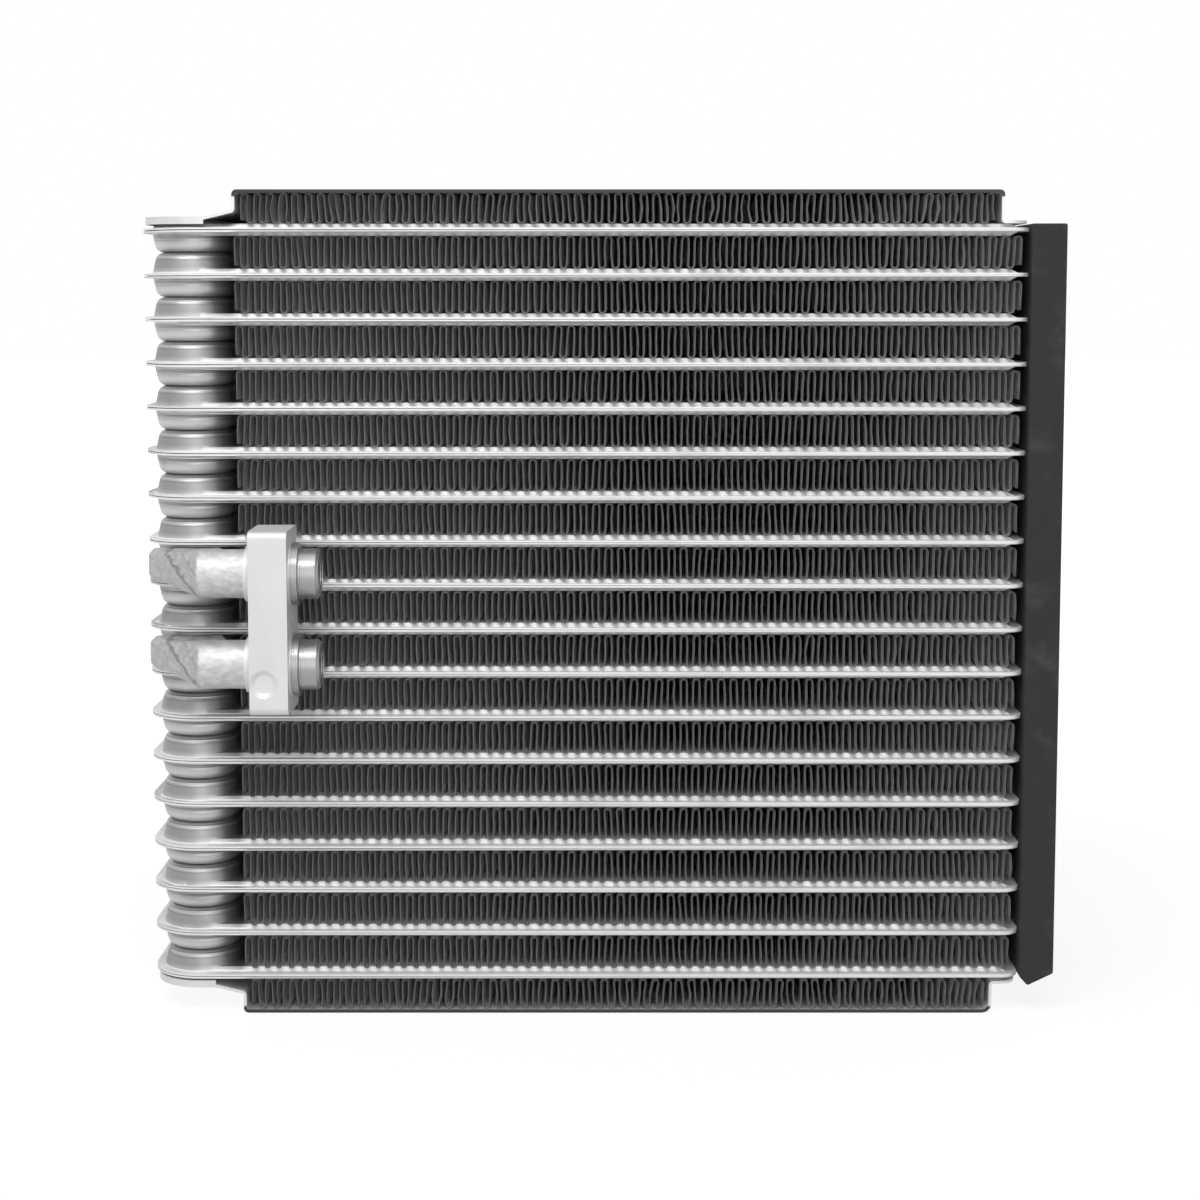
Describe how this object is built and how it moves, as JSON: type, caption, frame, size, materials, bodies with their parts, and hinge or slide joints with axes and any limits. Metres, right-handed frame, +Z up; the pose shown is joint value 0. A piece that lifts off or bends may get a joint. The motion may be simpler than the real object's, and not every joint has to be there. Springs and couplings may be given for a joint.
{
  "type": "evaporator core",
  "caption": "Flat core of stamped tubes and folded fins with cup headers at the left, a two-port block in front and a foam strip down the right side.",
  "frame": {"origin": "on the underside of the lower side plate, below the middle of the core's width and depth", "axes": "+X along the tubes away from the headers, -Y the front with the ports, +Z up across the tubes"},
  "size_m": [0.2488, 0.104, 0.2252],
  "materials": {
    "plate_metal": "brazed sheet, satin",
    "fin_metal": "thin coated sheet, grey",
    "side_metal": "brazed sheet, satin",
    "cast_metal": "forged, slightly rough",
    "machined_metal": "machined, matte",
    "foam": "closed-cell foam, matte"
  },
  "bodies": {
    "root": {"tube_01": "plate_metal", "tube_02": "plate_metal", "tube_03": "plate_metal", "tube_04": "plate_metal", "tube_05": "plate_metal", "tube_06": "plate_metal", "tube_07": "plate_metal", "tube_08": "plate_metal", "tube_09": "plate_metal", "tube_10": "plate_metal", "tube_11": "plate_metal", "tube_12": "plate_metal", "tube_13": "plate_metal", "tube_14": "plate_metal", "tube_15": "plate_metal", "tube_16": "plate_metal", "tube_17": "plate_metal", "tube_18": "plate_metal", "fin_01": "fin_metal", "fin_02": "fin_metal", "fin_03": "fin_metal", "fin_04": "fin_metal", "fin_05": "fin_metal", "fin_06": "fin_metal", "fin_07": "fin_metal", "fin_08": "fin_metal", "fin_09": "fin_metal", "fin_10": "fin_metal", "fin_11": "fin_metal", "fin_12": "fin_metal", "fin_13": "fin_metal", "fin_14": "fin_metal", "fin_15": "fin_metal", "fin_16": "fin_metal", "fin_17": "fin_metal", "fin_18": "fin_metal", "fin_19": "fin_metal", "top_side_plate": "side_metal", "bottom_side_plate": "side_metal", "upper_connector": "cast_metal", "lower_connector": "cast_metal", "port_block": "machined_metal", "foam_strip": "foam"}
  },
  "joints": []
}
